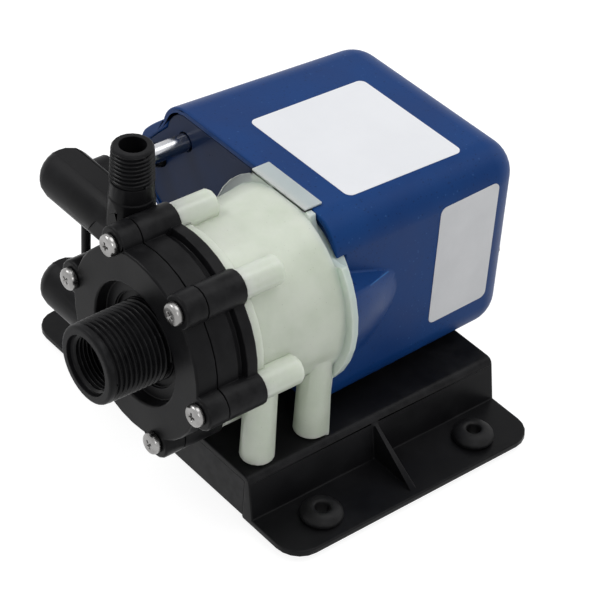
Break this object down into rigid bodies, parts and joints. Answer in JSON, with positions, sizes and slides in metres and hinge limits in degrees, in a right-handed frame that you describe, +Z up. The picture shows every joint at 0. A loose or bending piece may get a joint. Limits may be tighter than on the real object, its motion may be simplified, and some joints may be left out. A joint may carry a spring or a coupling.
{
  "type": "submersible_pump",
  "caption": "Small magnetic-drive submersible pump: potted motor in a blue cup housing, translucent bracket, black moulded pump head with side cooling tube, on a four-foot base",
  "frame": {"origin": "On the floor, in the middle of the pump's footprint without its cord: the base's middle is 13 mm behind it", "axes": "+Z up, out of the outlet; -Y forward, out of the inlet and along the pump's axis; +X to the right as seen from the front"},
  "size_m": [0.1515, 0.2133, 0.1203],
  "materials": {
    "black_moulded": "satin moulded black polymer",
    "black_rubber": "matte black rubber",
    "blue_housing": "satin speckled blue polymer",
    "blue_potting": "glossy dark blue cast resin",
    "natural_polymer": "translucent pale green-white polymer",
    "stainless": "bright stainless steel",
    "lamination_steel": "plain steel",
    "enamelled_copper": "enamelled copper wire",
    "bearing_bronze": "sintered bronze",
    "zinc_casting": "die-cast zinc",
    "ferrite": "dark ceramic magnet",
    "white_ceramic": "ground white ceramic",
    "bobbin_nylon": "off-white nylon"
  },
  "bodies": {
    "pump": {"base_plate": "black_moulded", "base_screw_1": "stainless", "base_screw_2": "stainless", "base_screw_3": "stainless", "base_screw_4": "stainless", "grommet_front_left": "black_rubber", "grommet_front_right": "black_rubber", "grommet_rear_left": "black_rubber", "grommet_rear_right": "black_rubber", "bracket": "natural_polymer", "motor_housing": "blue_housing", "potting": "blue_potting", "cooling_tube": "stainless", "volute_body": "black_moulded", "front_cover": "black_moulded", "cover_screw_1": "stainless", "cover_screw_2": "stainless", "cover_screw_3": "stainless", "cover_screw_4": "stainless", "cover_screw_5": "stainless", "cover_screw_6": "stainless", "rear_casing": "natural_polymer", "casing_seal": "black_rubber", "tube_seal_upper": "black_rubber", "tube_seal_lower": "black_rubber", "spindle": "white_ceramic", "front_thrust_washer": "white_ceramic", "rear_thrust_washer": "white_ceramic", "stator_core": "lamination_steel", "coil_bobbin": "bobbin_nylon", "motor_coil": "enamelled_copper", "shading_bar_upper": "enamelled_copper", "shading_bar_lower": "enamelled_copper", "thermal_protector": "bobbin_nylon", "front_bearing_bridge": "zinc_casting", "rear_bearing_bridge": "zinc_casting", "front_bearing": "bearing_bronze", "rear_bearing": "bearing_bronze", "stator_screw_upper": "lamination_steel", "stator_screw_lower": "lamination_steel", "lead_strain_relief": "black_rubber", "power_lead": "black_rubber", "power_lead_coil": "black_rubber", "power_lead_tail": "black_rubber", "lead_connector": "black_moulded", "lead_tie": "black_moulded"},
    "drive_rotor": {"motor_shaft": "lamination_steel", "rotor_core": "lamination_steel", "rotor_end_ring_front": "zinc_casting", "rotor_end_ring_rear": "zinc_casting", "drive_magnet_hub": "zinc_casting", "drive_magnet": "ferrite", "hub_set_screw": "stainless"},
    "impeller_rotor": {"impeller": "black_moulded", "impeller_magnet": "ferrite", "impeller_bushing": "white_ceramic"}
  },
  "joints": [
    {"name": "motor_spin", "type": "hinge", "parent": "pump", "child": "drive_rotor", "pos_m": [0.0163, -0.004, 0.0635], "axis": [0, -1, 0], "continuous": true},
    {"name": "impeller_spin", "type": "hinge", "parent": "pump", "child": "impeller_rotor", "pos_m": [0.0163, -0.03, 0.0635], "axis": [0, -1, 0], "continuous": true}
  ],
  "couplings": [
    {"joint": "impeller_spin", "follows": "motor_spin", "ratio": 1}
  ]
}
